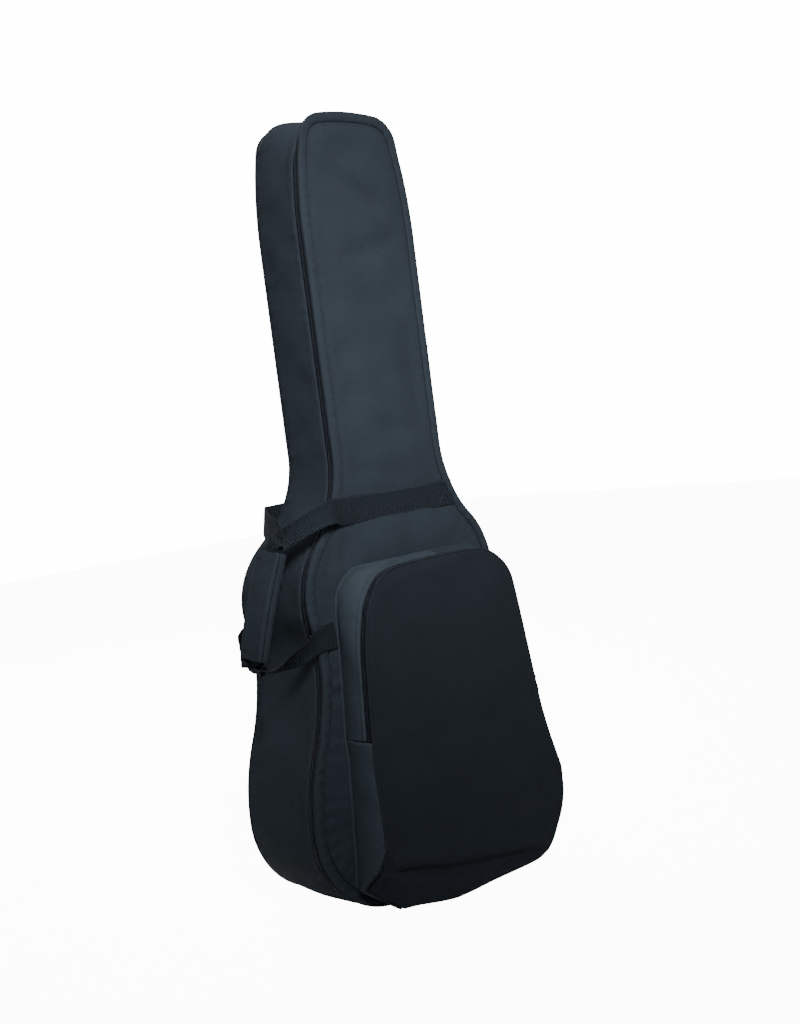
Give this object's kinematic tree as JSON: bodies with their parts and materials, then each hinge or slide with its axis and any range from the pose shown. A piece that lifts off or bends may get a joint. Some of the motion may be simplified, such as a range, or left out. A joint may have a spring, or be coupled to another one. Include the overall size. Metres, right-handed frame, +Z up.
{
  "type": "padded gig bag",
  "caption": "Padded soft guitar case: guitar-shaped zipped shell with hinged front, gusseted front pocket, wrapped carrying handle and shoulder straps.",
  "frame": {"origin": "middle of the flat base that the bag stands on", "axes": "+X to the bag's right as seen from the front, +Y to the back, +Z up; the zipped front faces -Y"},
  "size_m": [0.4671, 0.226, 1.1],
  "materials": {
    "shell_nylon": "woven polyester, coated back, slightly bluish black",
    "pocket_nylon": "woven polyester, near black",
    "accent_nylon": "woven polyester, slate",
    "foam": "closed-cell foam sheet, grey",
    "lining": "smooth tricot lining, dark grey",
    "webbing": "ribbed polypropylene webbing",
    "piping": "bound piping, near black",
    "zip_tape": "coil zipper tape",
    "zip_metal": "black enamelled die casting",
    "buckle_plastic": "moulded acetal, fine matte",
    "hook_and_loop": "hook-and-loop tape"
  },
  "bodies": {
    "shell": {"gusset_cover": "shell_nylon", "gusset_foam": "foam", "gusset_lining": "lining", "rear_panel_cover": "shell_nylon", "rear_panel_foam": "foam", "rear_panel_lining": "lining", "rear_piping": "piping", "main_zipper_rear": "zip_tape", "hinge_strip": "shell_nylon", "rear_waist_band": "webbing", "rear_handle_loop": "webbing", "strap_yoke": "shell_nylon", "shoulder_pad_left": "shell_nylon", "shoulder_pad_right": "shell_nylon", "ladder_lock_left": "buckle_plastic", "ladder_lock_right": "buckle_plastic", "strap_tail_left": "webbing", "strap_tail_right": "webbing", "strap_tab_left": "webbing", "strap_tab_right": "webbing"},
    "lid": {"front_band": "shell_nylon", "front_panel_cover": "shell_nylon", "front_panel_foam": "foam", "front_panel_lining": "lining", "main_zipper_front": "zip_tape", "waist_band": "webbing", "front_handle_loop": "webbing", "grip_pad": "shell_nylon", "grip_loop_tape": "hook_and_loop", "pocket_gusset_accent": "accent_nylon", "pocket_gusset_right": "pocket_nylon", "pocket_gusset_low_left": "accent_nylon", "pocket_gusset_low_right": "accent_nylon", "pocket_front_lower": "pocket_nylon", "pocket_piping_lower": "piping", "pocket_zipper_rear": "zip_tape"},
    "pocket_flap": {"pocket_front_upper": "pocket_nylon", "pocket_zipper_front": "zip_tape", "pocket_piping_upper": "piping"},
    "grip_wrap": {"grip_flap": "shell_nylon", "grip_hook_tape": "hook_and_loop"},
    "upper_slider": {"main_upper_slider": "zip_metal"},
    "upper_pull": {"main_upper_pull": "zip_metal"},
    "lower_slider": {"main_lower_slider": "zip_metal"},
    "lower_pull": {"main_lower_pull": "zip_metal"},
    "pocket_slider": {"pocket_slider": "zip_metal"},
    "pocket_pull": {"pocket_pull": "zip_metal"}
  },
  "joints": [
    {"name": "lid_hinge", "type": "hinge", "parent": "shell", "child": "lid", "pos_m": [0.2153, -0.0665, 0.13], "axis": [0, 0, 1], "range_deg": [0, 170]},
    {"name": "pocket_flap_hinge", "type": "hinge", "parent": "lid", "child": "pocket_flap", "pos_m": [0, -0.1355, 0.245], "axis": [1, 0, 0], "range_deg": [0, 150]},
    {"name": "grip_flap_hinge", "type": "hinge", "parent": "lid", "child": "grip_wrap", "pos_m": [-0.22375, -0.05809, 0.44317], "axis": [0.3024, -0.0962, 0.9483], "range_deg": [0, 150]},
    {"name": "upper_slider_slide", "type": "slide", "parent": "shell", "child": "upper_slider", "axis": [0, 0, 1], "range_m": [0, 0.115]},
    {"name": "upper_pull_hinge", "type": "hinge", "parent": "upper_slider", "child": "upper_pull", "pos_m": [0.107, -0.0665, 0.8], "axis": [0, -1, 0], "range_deg": [0, 160]},
    {"name": "lower_slider_slide", "type": "slide", "parent": "shell", "child": "lower_slider", "axis": [0, 0, 1], "range_m": [-0.125, 0]},
    {"name": "lower_pull_hinge", "type": "hinge", "parent": "lower_slider", "child": "lower_pull", "pos_m": [0.107, -0.0665, 0.768], "axis": [0, -1, 0], "range_deg": [0, 160]},
    {"name": "pocket_slider_slide", "type": "slide", "parent": "lid", "child": "pocket_slider", "axis": [-0.1364, 0, 0.9907], "range_m": [0, 0.125]},
    {"name": "pocket_pull_hinge", "type": "hinge", "parent": "pocket_slider", "child": "pocket_pull", "pos_m": [0.18589, -0.126, 0.26275], "axis": [0, -1, 0], "range_deg": [0, 160]}
  ]
}
